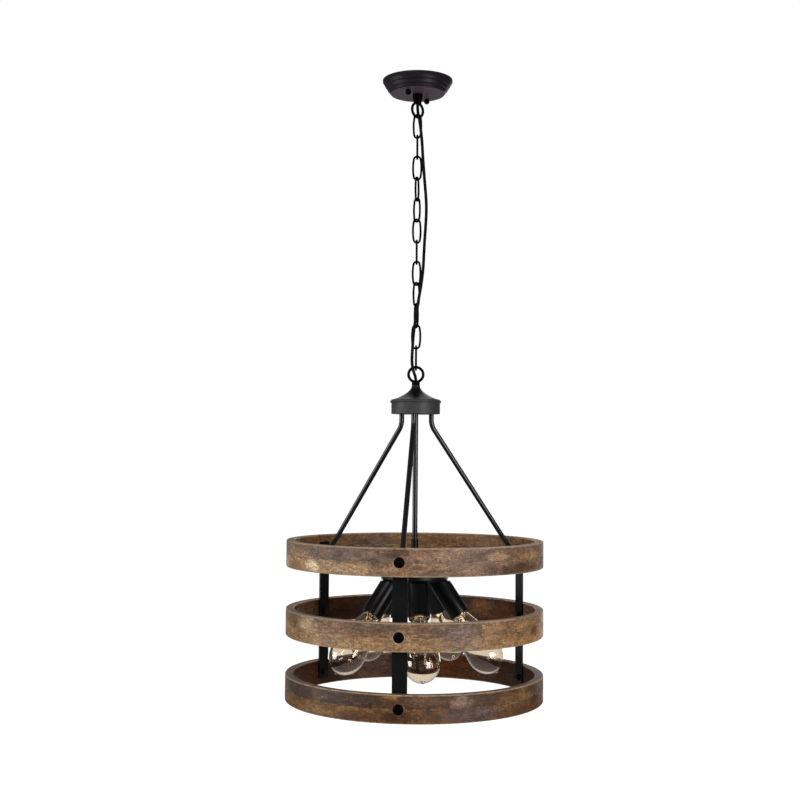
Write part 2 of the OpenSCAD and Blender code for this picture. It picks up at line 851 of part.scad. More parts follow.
ceiling_bar();
stud_bar();
canopy_studs();
canopy();
ball_nuts();
canopy_loop();
canopy_nipple();
canopy_locknut();
chain_link_01();
chain_link_02();
chain_link_03();
chain_link_04();
chain_link_05();
chain_link_06();
chain_link_07();
chain_link_08();
chain_link_09();
chain_link_10();
chain_link_11();
chain_link_12();
supply_cord();
fixture_loop();
bell_cap();
hub_lid();
hub();
hub_nuts();
center_stem();
rod_front();
rod_right();
rod_left();
rod_nuts();
stem_coupling();
pan_stem();
pan();
pan_cover();
pan_nuts();
socket_1();
socket_2();
socket_3();
socket_4();
socket_5();
socket_liners();
bulb_1_glass();
bulb_2_glass();
bulb_3_glass();
bulb_4_glass();
bulb_5_glass();
bulb_1_base();
bulb_2_base();
bulb_3_base();
bulb_4_base();
bulb_5_base();
ring_top();
ring_middle();
ring_bottom();
strap_front();
strap_right();
strap_left();
ring_bolts();
ring_nuts();
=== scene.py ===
import json

import bmesh
import bpy
import numpy as np
from mathutils import Euler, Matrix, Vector


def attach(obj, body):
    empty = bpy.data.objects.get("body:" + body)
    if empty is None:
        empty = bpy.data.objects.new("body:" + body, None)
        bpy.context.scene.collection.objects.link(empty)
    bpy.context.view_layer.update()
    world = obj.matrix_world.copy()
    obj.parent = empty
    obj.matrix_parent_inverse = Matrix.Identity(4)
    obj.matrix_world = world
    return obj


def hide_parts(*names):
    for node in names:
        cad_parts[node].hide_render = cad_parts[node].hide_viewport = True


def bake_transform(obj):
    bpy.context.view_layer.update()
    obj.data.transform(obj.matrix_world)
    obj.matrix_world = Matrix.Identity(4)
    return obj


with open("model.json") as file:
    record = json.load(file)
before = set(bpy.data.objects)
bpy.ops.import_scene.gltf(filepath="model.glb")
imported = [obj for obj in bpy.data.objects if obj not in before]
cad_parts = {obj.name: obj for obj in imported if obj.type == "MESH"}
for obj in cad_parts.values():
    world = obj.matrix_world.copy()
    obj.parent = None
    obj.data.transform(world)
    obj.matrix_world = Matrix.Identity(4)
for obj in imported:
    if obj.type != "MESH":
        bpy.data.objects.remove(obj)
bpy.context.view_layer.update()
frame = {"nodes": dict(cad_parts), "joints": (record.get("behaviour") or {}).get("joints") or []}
nodes = frame["nodes"]


# small tools

# A screen colour, 0 to 255, as the shader's own linear values.
def linear(red, green, blue):
    c = np.array([red, green, blue]) / 255
    c = np.where(c <= 0.04045, c / 12.92, ((c + 0.055) / 1.055) ** 2.4)
    return (*(float(x) for x in c), 1.0)


# A mesh object at the origin, with its faces' normals outwards.
def addMesh(name, verts, faces, smooth=True):
    mesh = bpy.data.meshes.new(name)
    mesh.from_pydata(np.asarray(verts, float).tolist(), [], [list(map(int, f)) for f in faces])
    mesh.validate()
    work = bmesh.new()
    work.from_mesh(mesh)
    bmesh.ops.recalc_face_normals(work, faces=work.faces)
    work.to_mesh(mesh)
    work.free()
    mesh.polygons.foreach_set("use_smooth", np.full(len(mesh.polygons), smooth))
    mesh.update()
    piece = bpy.data.objects.new(name, mesh)
    bpy.context.scene.collection.objects.link(piece)
    return piece


# Quads over a grid of rows x cols points, whose columns close into a ring.
def gridFaces(rows, cols, start=0):
    r, c = np.meshgrid(np.arange(rows - 1), np.arange(cols), indexing="ij")
    nextCol = (c + 1) % cols
    quads = np.stack([r * cols + c, r * cols + nextCol, (r + 1) * cols + nextCol, (r + 1) * cols + c], axis=-1)
    return (quads.reshape(-1, 4) + start).tolist()


# The natural cubic spline through the points, with its length along the chords as its parameter.
def smoothPath(points, perSpan):
    p = np.asarray(points, float)
    t = np.concatenate([[0], np.cumsum(np.linalg.norm(np.diff(p, axis=0), axis=1))])
    h = np.diff(t)
    n = len(p)
    a, b = np.eye(n), np.zeros((n, 3))
    inner = np.arange(1, n - 1)
    a[inner, inner - 1], a[inner, inner], a[inner, inner + 1] = h[:-1], 2 * (h[:-1] + h[1:]), h[1:]
    slope = np.diff(p, axis=0) / h[:, None]
    b[inner] = 6 * np.diff(slope, axis=0)
    bend = np.linalg.solve(a, b)
    span = np.repeat(np.arange(n - 1), perSpan)
    share = np.tile(np.arange(perSpan) / perSpan, n - 1)
    span, share = np.append(span, n - 2), np.append(share, 1.0)
    left, right = share * h[span], (1 - share) * h[span]
    hs = h[span][:, None]
    return (bend[span] * right[:, None] ** 3 / (6 * hs) + bend[span + 1] * left[:, None] ** 3 / (6 * hs)
            + (p[span] / hs - bend[span] * hs / 6) * right[:, None]
            + (p[span + 1] / hs - bend[span + 1] * hs / 6) * left[:, None])


# A circle carried along the path, square to it, with flat ends. Its frame turns as little as it can.
def carriedTube(path, radius, sides, start=0):
    p = np.asarray(path, float)
    tangent = np.gradient(p, axis=0)
    tangent /= np.linalg.norm(tangent, axis=1)[:, None]
    side = np.zeros_like(p)
    ref = np.array([0.0, 1.0, 0.0]) if abs(tangent[0, 1]) < 0.9 else np.array([1.0, 0.0, 0.0])
    for i in range(len(p)):  # each ring's side direction is the last one's, made square again
        ref = ref - tangent[i] * (ref @ tangent[i])
        ref /= np.linalg.norm(ref)
        side[i] = ref
    other = np.cross(tangent, side)
    turn = 2 * np.pi * np.arange(sides) / sides
    ring = np.cos(turn)[None, :, None] * side[:, None] + np.sin(turn)[None, :, None] * other[:, None]
    verts = (p[:, None] + radius * ring).reshape(-1, 3)
    last = len(verts) - sides
    caps = [list(range(start + sides - 1, start - 1, -1)), list(range(start + last, start + last + sides))]
    return verts, gridFaces(len(p), sides, start) + caps


# camera: the photograph's own, from a fit of the canopy, the chain, the hub and the three rings

cameraSet = {"place": (-0.0275, -2.245, -0.6917), "pitchUp": 2.791, "roll": -0.4, "lens": 56.25, "sensor": 36}
cameraData = bpy.data.cameras.new("camera")
cameraData.lens, cameraData.sensor_width = cameraSet["lens"], cameraSet["sensor"]
cameraData.clip_start, cameraData.clip_end = 0.01, 100
camera = bpy.data.objects.new("camera", cameraData)
camera.location = cameraSet["place"]
camera.rotation_euler = Euler((np.radians(90 + cameraSet["pitchUp"]), np.radians(cameraSet["roll"]), 0))
bpy.context.scene.collection.objects.link(camera)
bpy.context.scene.camera = camera
print("camera set")


# supply cord: one stretch for each joint of the chain, end to end

cordSet = {
    "diameter": 0.0055, "sides": 18, "perSpan": 5, "links": 12,
    # in millimetres: the heights of the two ends and of the first link's hinge, the pitch of the links, how near a
    # point of the spline may come to a cut, and the route's points
    "top": -36, "bottom": -555, "firstLink": -84.05, "pitch": 38.4, "margin": 0.7,
    "route": [(0, 0, -36), (0, 0, -42), (0.2, -1.4, -52), (0.6, -3.9, -58), (1.3, -6.6, -64),
              (2.6, -8.3, -70), (3.8, -9.4, -77), (5.2, -9.6, -87), (6.6, -9, -98), (7.9, -8, -110),
              (9, -6.8, -124), (10, -5.6, -140), (11.4, -4.2, -158), (13, -3, -178), (14.8, -2.2, -198),
              (16.4, -2, -218), (17, -2, -238), (16.4, -2, -258), (15.2, -2.2, -278), (14, -2.6, -298),
              (13.1, -3.6, -318), (12.3, -5, -336), (11, -6.8, -354), (9, -8.4, -370), (6.6, -9.6, -386),
              (3.8, -11, -402), (1.6, -12, -418), (-0.8, -12, -434), (-3, -10.8, -449), (-4.8, -9.8, -465),
              (-6, -9.4, -481), (-6.9, -9.6, -497), (-7.3, -9.2, -509), (-6.9, -7.8, -518),
              (-5.9, -6, -524.5), (-4.6, -4.2, -530), (-2.6, -2.4, -535.5), (-0.9, -0.9, -541),
              (0, 0, -547.5), (0, 0, -555)],
}


# The point of the line at the height z, on its chord between two of its points.
def cordPoint(line, z):
    return np.array([np.interp(-z, -line[:, 2], line[:, k]) for k in range(3)])


# Each stretch is what lies between two hinges' heights of one spline through the route, thickened to the cord.
def makeCord():
    line = smoothPath(cordSet["route"], cordSet["perSpan"])
    centres = [cordSet["firstLink"] - cordSet["pitch"] * k for k in range(cordSet["links"])]
    cuts = [cordSet["top"], *centres, cordSet["bottom"]]
    made = []
    for k, (high, low) in enumerate(zip(cuts[:-1], cuts[1:])):
        inside = line[(line[:, 2] < high - cordSet["margin"]) & (line[:, 2] > low + cordSet["margin"])]
        path = np.vstack([cordPoint(line, high), inside, cordPoint(line, low)]) / 1000
        verts, faces = carriedTube(path, cordSet["diameter"] / 2, cordSet["sides"])
        stretch = addMesh(f"cord{k + 1:02d}", verts, faces)
        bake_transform(stretch)
        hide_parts("supply_cord")
        made.append(stretch)
    return made


cordPieces = makeCord()
print("cord made in", len(cordPieces), "stretches")


# shader tools

def newFinish(name):
    finish = bpy.data.materials.new(name)
    finish.use_nodes = True
    tree = finish.node_tree
    tree.nodes.clear()
    return finish, tree


# A new node, its inputs linked where a socket is given and set where a value is.
def put(tree, kind, inputs=None, **options):
    made = tree.nodes.new("ShaderNode" + kind)
    for key, value in options.items():
        setattr(made, key, value)
    for key, value in (inputs or {}).items():
        if isinstance(value, bpy.types.NodeSocket):
            tree.links.new(value, made.inputs[key])
        else:
            made.inputs[key].default_value = value
    return made


def calc(tree, operation, *values):
    return put(tree, "Math", dict(enumerate(values)), operation=operation).outputs[0]


# The length of the flat vector (x, y).
def lengthOf(tree, x, y):
    both = put(tree, "CombineXYZ", {0: x, 1: y}).outputs[0]
    return put(tree, "VectorMath", {0: both}, operation="LENGTH").outputs["Value"]


# The value's way from low to high, smoothed, as a share from toLow to toHigh.
def ease(tree, value, low, high, toLow=0.0, toHigh=1.0):
    return put(tree, "MapRange", {"Value": value, "From Min": low, "From Max": high, "To Min": toLow, "To Max": toHigh},
               interpolation_type="SMOOTHSTEP").outputs[0]


def mixColor(tree, share, first, second):
    return put(tree, "Mix", {0: share, 6: first, 7: second}, data_type="RGBA").outputs[2]


# Cloudy noise in four dimensions, where another seed is another cloud.
def speckle(tree, vector, scale, detail=3.0, rough=0.5, seed=0.0, distortion=0.0):
    made = put(tree, "TexNoise", {"Vector": vector, "Scale": scale, "Detail": detail, "Roughness": rough,
                                  "Distortion": distortion, "W": seed}, noise_dimensions="4D")
    return made.outputs[0]


def stretched(tree, vector, scale):
    return put(tree, "VectorMath", {0: vector, 1: scale}, operation="MULTIPLY").outputs[0]


def scaled(tree, color, factor):
    return put(tree, "VectorMath", {0: color, 3: factor}, operation="SCALE").outputs[0]


# Ends a finish in one shader, with a bump where a height is given.
def shade(tree, values, bumpHeight=None, bumpStrength=0.2, bumpDistance=0.0002):
    shader = put(tree, "BsdfPrincipled", values)
    if bumpHeight is not None:
        bump = put(tree, "Bump", {"Height": bumpHeight, "Strength": bumpStrength, "Distance": bumpDistance})
        tree.links.new(bump.outputs[0], shader.inputs["Normal"])
    put(tree, "OutputMaterial", {"Surface": shader.outputs[0]})


# metals

# each paint: its colour and roughness, the colour and closeness of its rubbed patches, and its shine
metalSet = {
    "blackPaint": {"color": (10, 9, 11), "worn": (34, 32, 36), "rough": (0.34, 0.48), "specular": 0.14, "patches": 240},
    "linkPaint": {"color": (5, 4, 5), "worn": (12, 11, 12), "rough": (0.5, 0.6), "specular": 0.02, "patches": 240},
    "rodPaint": {"color": (14, 13, 15), "worn": (34, 32, 36), "rough": (0.24, 0.32), "specular": 0.3, "patches": 240},
    "cupPaint": {"color": (6, 5, 6), "worn": (12, 11, 12), "rough": (0.26, 0.34), "specular": 0.16, "patches": 200},
    "canopyPaint": {"color": (30, 24, 29), "worn": (52, 43, 50), "rough": (0.4, 0.5), "specular": 0.08, "patches": 150,
                    "face": (92, 77, 88), "faceTop": -0.0246},
    "hubPaint": {"color": (64, 62, 64), "worn": (98, 96, 99), "rough": (0.46, 0.6), "specular": 0.17, "patches": 110},
}


# Satin paint: a fine grain in its height, cloudy sheen, and paler rubbed patches.
def paintedMetal(name):
    look = metalSet[name]
    finish, tree = newFinish(name)
    place = put(tree, "TexCoord").outputs["Object"]
    cloud = speckle(tree, place, 26, 4, 0.6)
    grit = speckle(tree, place, 2600, 2, 0.5)
    rubbed = ease(tree, speckle(tree, place, look["patches"], 3, 0.65, 4.0), 0.54, 0.8, 0, 0.6)
    color = mixColor(tree, rubbed, linear(*look["color"]), linear(*look["worn"]))
    # painted light: the canopy's downward flat face is painted paler, standing in for light from below
    if "face" in look:  # the canopy's flat face, below the height faceTop, is paler
        height = put(tree, "SeparateXYZ", {0: place}).outputs[2]
        litFace = ease(tree, height, look["faceTop"], look["faceTop"] - 0.0006)
        color = mixColor(tree, litFace, color, linear(*look["face"]))
    rough = ease(tree, cloud, 0.3, 0.7, *look["rough"])
    shade(tree, {"Base Color": color, "Roughness": rough, "Specular IOR Level": look["specular"]}, grit, 0.12)
    return finish


# the plain finishes: a colour and a second one in patches, how close the patches and the grain lie, roughness
plainSet = {
    "zinc": {"color": (150, 152, 152), "second": (186, 186, 182), "patches": 260, "grain": 900, "rough": (0.3, 0.46)},
    "baseBrass": {"color": (186, 150, 92), "second": (112, 84, 48), "patches": 140, "grain": 1200,
                  "rough": (0.18, 0.4)},
    "socketCeramic": {"color": (224, 218, 202), "second": (196, 184, 160), "patches": 90, "grain": 2200,
                      "rough": 0.55},
    "cordJacket": {"color": (6, 6, 7), "second": (18, 17, 18), "patches": 160, "grain": 3000, "rough": 0.55,
                   "specular": 0.05},
    "bulbGlass": {"tint": (0.84, 0.75, 0.64, 1), "bending": 1.5, "specular": 0.4},
    "leadWire": {"color": (176, 170, 158), "rough": 0.25},
}


# Zinc-plated steel: each crystal of its spangle has its own tone and sheen.
def plainSteel(name):
    look = plainSet[name]
    finish, tree = newFinish(name)
    place = put(tree, "TexCoord").outputs["Object"]
    spangle = put(tree, "TexVoronoi", {"Vector": place, "Scale": look["patches"]}).outputs["Color"]
    tone = put(tree, "SeparateColor", {0: spangle}).outputs[0]
    color = mixColor(tree, tone, linear(*look["color"]), linear(*look["second"]))
    shade(tree, {"Base Color": color, "Metallic": 1.0, "Roughness": ease(tree, tone, 0, 1, *look["rough"])},
          speckle(tree, place, look["grain"]), 0.1)
    return finish


# Brass of a screw base, a little tarnished in cloudy patches.
def brightBrass(name):
    look = plainSet[name]
    finish, tree = newFinish(name)
    place = put(tree, "TexCoord").outputs["Object"]
    tarnish = ease(tree, speckle(tree, place, look["patches"], 4, 0.6), 0.4, 0.75)
    color = mixColor(tree, tarnish, linear(*look["color"]), linear(*look["second"]))
    shade(tree, {"Base Color": color, "Metallic": 1.0, "Roughness": ease(tree, tarnish, 0, 1, *look["rough"])},
          speckle(tree, place, look["grain"]), 0.08)
    return finish


# Unglazed ceramic, stained in cloudy patches.
def rawCeramic(name):
    look = plainSet[name]
    finish, tree = newFinish(name)
    place = put(tree, "TexCoord").outputs["Object"]
    stain = ease(tree, speckle(tree, place, look["patches"], 4), 0.45, 0.75)
    color = mixColor(tree, stain, linear(*look["color"]), linear(*look["second"]))
    shade(tree, {"Base Color": color, "Roughness": look["rough"]}, speckle(tree, place, look["grain"]), 0.15)
    return finish


# Black rubber with a little dust on it.
def rubberJacket(name):
    look = plainSet[name]
    finish, tree = newFinish(name)
    place = put(tree, "TexCoord").outputs["Object"]
    dust = ease(tree, speckle(tree, place, look["patches"], 4, 0.6), 0.5, 0.8, 0, 0.5)
    color = mixColor(tree, dust, linear(*look["color"]), linear(*look["second"]))
    shade(tree, {"Base Color": color, "Roughness": look["rough"], "Specular IOR Level": look["specular"]},
          speckle(tree, place, look["grain"]), 0.2)
    return finish


# Clear glass with a warm tint.
def clearGlass(name):
    look = plainSet[name]
    finish, tree = newFinish(name)
    shade(tree, {"Base Color": look["tint"], "Roughness": 0.0, "IOR": look["bending"],
                 "Specular IOR Level": look["specular"], "Transmission Weight": 1.0})
    return finish


# wood: boards in two courses, each with its own tone, mottled grain that runs round the ring, and pale edges, worn and
# with a painted highlight

woodSet = {
    "radius": 0.2286, "wall": 0.015, "height": 0.0465, "boards": 4, "boltTurn": -7, "boltRim": 0.0096,
    "flatFace": (110, 92, 80), "edge": (206, 176, 146), "glue": (66, 48, 36), "pale": (182, 148, 106),
    "fleck": (200, 170, 126), "fleckScale": 520, "pore": (50, 35, 27), "rusty": (0.9, 0.72, 0.6),
    "greyed": (0.94, 1.0, 1.1), "saturation": 1.2, "specular": 0.17, "behind": 95,
    # the noises: how close they lie along and across a board, detail, roughness, what is added to the seed, distortion
    "noises": {
        "cloud": (13, 26, 4, 0.55, 0.0, 0.8), "figure": (95, 230, 6, 0.74, 0.0, 2.2),
        "scratch": (260, 480, 4, 0.6, 0.0, 1.2), "sawn": (420, 70, 3, 0.6, 2.0, 1.6),
        "fibre": (170, 1000, 3, 0.6, 0.0, 0.6), "rust": (22, 48, 4, 0.6, 9.0, 1.0),
        "mottle": (42, 105, 5, 0.66, 4.0, 1.6), "crackle": (30, 60, 3, 0.5, 6.0, 0.5),
    },
    # the noises that scale the colour: from and to of the noise, and of the factor
    "shading": [("cloud", 0.28, 0.56, 0.7, 1.05), ("mottle", 0.36, 0.64, 1.36, 0.68),
                ("scratch", 0.36, 0.64, 1.32, 0.72), ("sawn", 0.36, 0.64, 1.16, 0.86), ("fibre", 0.34, 0.66, 1.2, 0.8)],
    # for each ring: the height of its top, how much of its colour the dark inside leaves, a stain deepened by painted
    # shade, where its upper and lower course are butted, the tones of the upper and of the lower course's four boards,
    # and its
    # patches: direction, share of the height, half width, half height, tone, strength
    "rings": {
        "ring_top": (-0.832, (0.92, 0.85, 0.84), (-7, 70), [
            (134, 111, 96), (130, 104, 80), (120, 95, 72), (122, 101, 87),
            (112, 85, 64), (135, 108, 80), (153, 126, 98), (138, 113, 95)], [
            (-50, 0.24, 6, 0.22, (240, 217, 186), 0.9), (-64, 0.6, 13, 0.4, (165, 140, 115), 0.8),
            (-25, 0.68, 20, 0.34, (112, 98, 90), 0.75), (-28, 0.25, 16, 0.25, (172, 147, 122), 0.6),
            (-9, 0.85, 7, 0.22, (78, 58, 46), 0.7), (36, 0.66, 9, 0.17, (195, 163, 138), 0.8),
            (58, 0.6, 12, 0.24, (182, 145, 116), 0.8), (50, 0.2, 18, 0.24, (84, 60, 47), 0.75),
            (32, 0.25, 6, 0.26, (124, 100, 94), 0.6), (-152, 0.5, 24, 0.7, (88, 70, 58), 0.6)]),
        "ring_middle": (-0.9515, (0.2, 0.13, 0.092), (28, -42), [
            (146, 118, 93), (110, 86, 66), (132, 104, 76), (128, 106, 88),
            (158, 130, 103), (172, 138, 105), (120, 94, 70), (156, 128, 98)], [
            (-52, 0.7, 8, 0.3, (218, 192, 157), 0.8), (-48, 0.25, 16, 0.28, (150, 126, 102), 0.5),
            (-24, 0.8, 16, 0.2, (104, 82, 68), 0.6), (17, 0.55, 8, 0.5, (122, 102, 96), 0.8),
            (12, 0.26, 3, 0.28, (190, 160, 131), 0.6), (20, 0.22, 9, 0.3, (156, 134, 116), 0.6),
            (44, 0.5, 14, 0.4, (156, 125, 98), 0.5), (62, 0.42, 4, 0.2, (74, 50, 36), 0.7),
            (-80, 0.5, 7, 0.9, (104, 72, 50), 0.6), (142, 0.5, 11, 0.5, (250, 206, 150), 0.9),
            (158, 0.7, 6, 0.3, (90, 62, 42), 0.8), (-150, 0.4, 14, 0.4, (96, 68, 46), 0.7),
            (-106, 0.5, 18, 0.9, (244, 218, 190), 0.9), (104, 0.5, 14, 0.9, (236, 210, 182), 0.9),
            (126, 0.5, 9, 0.6, (190, 150, 90), 0.8)]),
        "ring_bottom": (-1.0655, (0.42, 0.28, 0.2), (-18, 55), [
            (86, 63, 48), (88, 64, 46), (70, 50, 38), (68, 50, 40),
            (96, 67, 44), (78, 54, 37), (108, 76, 48), (98, 71, 52)], [
            (-48, 0.2, 16, 0.26, (136, 108, 82), 0.75), (-30, 0.8, 18, 0.3, (66, 52, 46), 0.75),
            (4, 0.8, 10, 0.24, (132, 104, 84), 0.6), (19, 0.72, 6, 0.24, (172, 144, 123), 0.65),
            (24, 0.28, 15, 0.26, (92, 77, 76), 0.75), (46, 0.6, 14, 0.4, (132, 102, 77), 0.7),
            (-8, 0.25, 6, 0.3, (62, 40, 28), 0.8), (68, 0.6, 12, 0.5, (84, 62, 46), 0.6),
            (-157, 0.5, 20, 1.0, (142, 122, 106), 0.85), (157, 0.5, 18, 0.9, (158, 110, 60), 0.85),
            (-108, 0.5, 16, 0.9, (129, 92, 60), 0.8)]),
    },
}


# Stained boards. Along a board the place is its angle from the board's end times the radius; across it, the height.
# A patch is an oval in angle and height, with an edge that noise breaks up. Its tone is partly the wood's own, and the
# pale ones on the outer wall are partly painted sheen. One whose direction is past "behind" lies on the inner wall
# alone, where the camera sees it through the drum; the pale ones there are painted light falling inside the ring.
# Directions are in degrees, from the front.
def wornWood(name, ringName):
    w = woodSet
    top, stainAndShade, joints, tones, patches = w["rings"][ringName]
    outer, middle, half = w["radius"], top - w["height"] / 2, w["height"] / 2
    boardTurn, boards = float(2 * np.pi / w["boards"]), float(w["boards"])
    finish, tree = newFinish(name)
    place = put(tree, "TexCoord").outputs["Object"]
    x, y, z = put(tree, "SeparateXYZ", {0: place}).outputs
    radius = lengthOf(tree, x, y)
    angle = calc(tree, "ARCTAN2", x, calc(tree, "MULTIPLY", y, -1.0))
    lower = calc(tree, "LESS_THAN", z, middle)
    joint = calc(tree, "MULTIPLY_ADD", lower, float(np.radians(joints[1] - joints[0])), float(np.radians(joints[0])))
    turn = calc(tree, "DIVIDE", calc(tree, "SUBTRACT", angle, joint), boardTurn)
    board = calc(tree, "WRAP", calc(tree, "FLOOR", turn), boards, 0.0)
    along = calc(tree, "MULTIPLY", calc(tree, "FRACT", turn), boardTurn * outer)
    boardId = calc(tree, "MULTIPLY_ADD", lower, boards, board)
    seed = calc(tree, "MULTIPLY_ADD", boardId, 3.7, abs(top) * 100)  # another one for each board of each ring
    spot = put(tree, "CombineXYZ", {0: along, 1: z, 2: radius}).outputs[0]

    tone = put(tree, "ValToRGB", {0: calc(tree, "DIVIDE", calc(tree, "ADD", boardId, 0.5), 2 * boards)})
    ramp = tone.color_ramp
    ramp.interpolation = "CONSTANT"
    ramp.elements[0].color = linear(*tones[0])
    ramp.elements.remove(ramp.elements[1])
    for k in range(1, len(tones)):
        ramp.elements.new(k / len(tones)).color = linear(*tones[k])
    color = tone.outputs[0]

    noise = {}
    for kind, (lengthwise, across, detail, coarse, shift, bend) in w["noises"].items():
        drawn = stretched(tree, spot, (lengthwise, across, across))
        noise[kind] = speckle(tree, drawn, 1, detail, coarse, calc(tree, "ADD", seed, shift), bend)
    fleck = speckle(tree, spot, w["fleckScale"], 3, 0.7, seed)
    ragged = speckle(tree, place, 60, 5, 0.7)
    innerWall = outer - w["wall"]
    inside = ease(tree, radius, innerWall + 0.0025, innerWall + 0.0005)

    # patches: the wood's own tones, with painted sheen in some pale ones and painted light on the inner wall
    for direction, share, halfWidth, halfHeight, patchTone, strength in patches:
        reach = w["height"] * halfHeight
        aside = calc(tree, "MULTIPLY_ADD", angle, float(180 / np.pi / halfWidth), -direction / halfWidth)
        above = calc(tree, "MULTIPLY_ADD", z, 1 / reach, (w["height"] * (1 - share) - top) / reach)
        away = calc(tree, "SUBTRACT", lengthOf(tree, aside, above), 0.9)
        patch = ease(tree, calc(tree, "MULTIPLY_ADD", ragged, 1.8, away), 1.15, 0.35, 0, strength)
        if abs(direction) > w["behind"]:
            patch = calc(tree, "MULTIPLY", patch, inside)
        color = mixColor(tree, patch, color, linear(*patchTone))

    # pale, rusty and greyed clouds, the shading noises, then the crackled figure with its flecks and pores
    cloud, rust = noise["cloud"], noise["rust"]
    color = mixColor(tree, ease(tree, cloud, 0.56, 0.76, 0, 0.5), color, linear(*w["pale"]))
    color = mixColor(tree, ease(tree, rust, 0.5, 0.68, 0, 0.5), color, stretched(tree, color, w["rusty"]))
    color = mixColor(tree, ease(tree, rust, 0.46, 0.3, 0, 0.3), color, stretched(tree, color, w["greyed"]))
    for kind, low, high, toLow, toHigh in w["shading"]:
        color = scaled(tree, color, ease(tree, noise[kind], low, high, toLow, toHigh))
    crackled = ease(tree, noise["crackle"], 0.46, 0.58, 0.2, 1.0)
    figured = ease(tree, noise["figure"], 0.37, 0.63, 0.9, -0.46)
    color = scaled(tree, color, calc(tree, "MULTIPLY_ADD", crackled, figured, 1.0))
    flecks = calc(tree, "MULTIPLY", crackled, ease(tree, fleck, 0.56, 0.7, 0, 0.5))
    color = mixColor(tree, flecks, color, linear(*w["fleck"]))
    pores = calc(tree, "MULTIPLY", crackled, ease(tree, fleck, 0.42, 0.3, 0, 0.7))
    color = mixColor(tree, pores, color, linear(*w["pore"]))
    color = put(tree, "HueSaturation", {"Color": color, "Saturation": w["saturation"]}).outputs[0]

    # the seams: dark glue, or rubbed pale
    fromMiddle = calc(tree, "ABSOLUTE", calc(tree, "SUBTRACT", z, middle))
    butt = calc(tree, "MINIMUM", along, calc(tree, "SUBTRACT", boardTurn * outer, along))
    lines = calc(tree, "MAXIMUM", ease(tree, fromMiddle, 0.0012, 0.0004), ease(tree, butt, 0.0008, 0.0003, 0, 0.3))
    rubbedLine = mixColor(tree, ease(tree, ragged, 0.46, 0.58), linear(*w["glue"]), linear(*w["edge"]))
    color = mixColor(tree, calc(tree, "MULTIPLY", lines, 0.42), color, rubbedLine)

    # the rim of each bolt's hole, painted pale as a highlight on its lit edge; the three bolts are a third of a turn
    # apart
    third = float(2 * np.pi / 3)
    pastBolt = calc(tree, "ADD", angle, 3 * third - float(np.radians(w["boltTurn"])))
    fromBolt = calc(tree, "MULTIPLY", calc(tree, "PINGPONG", pastBolt, third / 2), outer)
    fromRim = calc(tree, "ABSOLUTE", calc(tree, "SUBTRACT", lengthOf(tree, fromBolt, fromMiddle), w["boltRim"]))
    rim = calc(tree, "MULTIPLY", ease(tree, fromRim, 0.0008, 0.0002), ease(tree, ragged, 0.44, 0.58, 0, 0.5))
    color = mixColor(tree, rim, color, linear(*w["edge"]))

    # a dark stain inside the ring, deepened by painted shade, grey on its flat faces, and pale edges, rubbed and with a
    # painted highlight
    color = mixColor(tree, inside, color, stretched(tree, color, stainAndShade))
    flatFace = ease(tree, fromMiddle, half - 0.0006, half - 0.0001, 0, 0.7)
    color = mixColor(tree, flatFace, color, linear(*w["flatFace"]))
    toEdge = calc(tree, "SUBTRACT", half, fromMiddle)
    fromWall = calc(tree, "ABSOLUTE", calc(tree, "SUBTRACT", radius, outer - w["wall"] / 2))
    toSide = calc(tree, "ABSOLUTE", calc(tree, "SUBTRACT", fromWall, w["wall"] / 2))
    edge = calc(tree, "ADD", toEdge, toSide)
    # pale edges: partly wear, partly a painted highlight along the lit edges
    edgeWearAndHighlight = calc(tree, "MULTIPLY", ease(tree, edge, 0.0026, 0.0008), ease(tree, ragged, 0.36, 0.6, 0.4, 1.0))
    color = mixColor(tree, edgeWearAndHighlight, color, linear(*w["edge"]))

    rough = ease(tree, cloud, 0.3, 0.7, 0.62, 0.46)
    height = calc(tree, "MULTIPLY_ADD", noise["fibre"], 0.35, noise["figure"])
    shade(tree, {"Base Color": color, "Roughness": rough, "Specular IOR Level": w["specular"]}, height, 0.25, 0.0005)
    return finish


# The nodes take the finish in place of what they came with.
def dress(finish, *names):
    for name in names:
        data = nodes[name].data
        data.materials.clear()
        data.materials.append(finish)


links = [f"chain_link_{k:02d}" for k in range(1, cordSet["links"] + 1)]
lamps = range(1, 6)
cups = [f"socket_{k}" for k in lamps]
dress(paintedMetal("blackPaint"), "bell_cap", "stem_coupling", "pan_stem", "pan", "pan_cover", "strap_front",
      "strap_right", "strap_left", "ring_nuts")
dress(paintedMetal("linkPaint"), "canopy_loop", "fixture_loop", "ball_nuts", "ring_bolts", *links)
dress(paintedMetal("rodPaint"), "center_stem", "rod_front", "rod_right", "rod_left")
dress(paintedMetal("cupPaint"), *cups)
dress(paintedMetal("canopyPaint"), "canopy")
dress(paintedMetal("hubPaint"), "hub", "hub_lid")
dress(plainSteel("zinc"), "ceiling_bar", "stud_bar", "canopy_studs", "canopy_nipple", "canopy_locknut", "hub_nuts",
      "rod_nuts", "pan_nuts")
dress(rawCeramic("socketCeramic"), "socket_liners")
brass = brightBrass("baseBrass")
glass = clearGlass("bulbGlass")
for k in lamps:
    dress(brass, f"bulb_{k}_base")
    dress(glass, f"bulb_{k}_glass")
for ringName in woodSet["rings"]:
    dress(wornWood("wood_" + ringName, ringName), ringName)
jacket = rubberJacket("cordJacket")
for stretch in cordPieces:
    stretch.data.materials.append(jacket)
print("finishes made")


# the bulbs: the glass, and inside it the mount, its wires and the filament

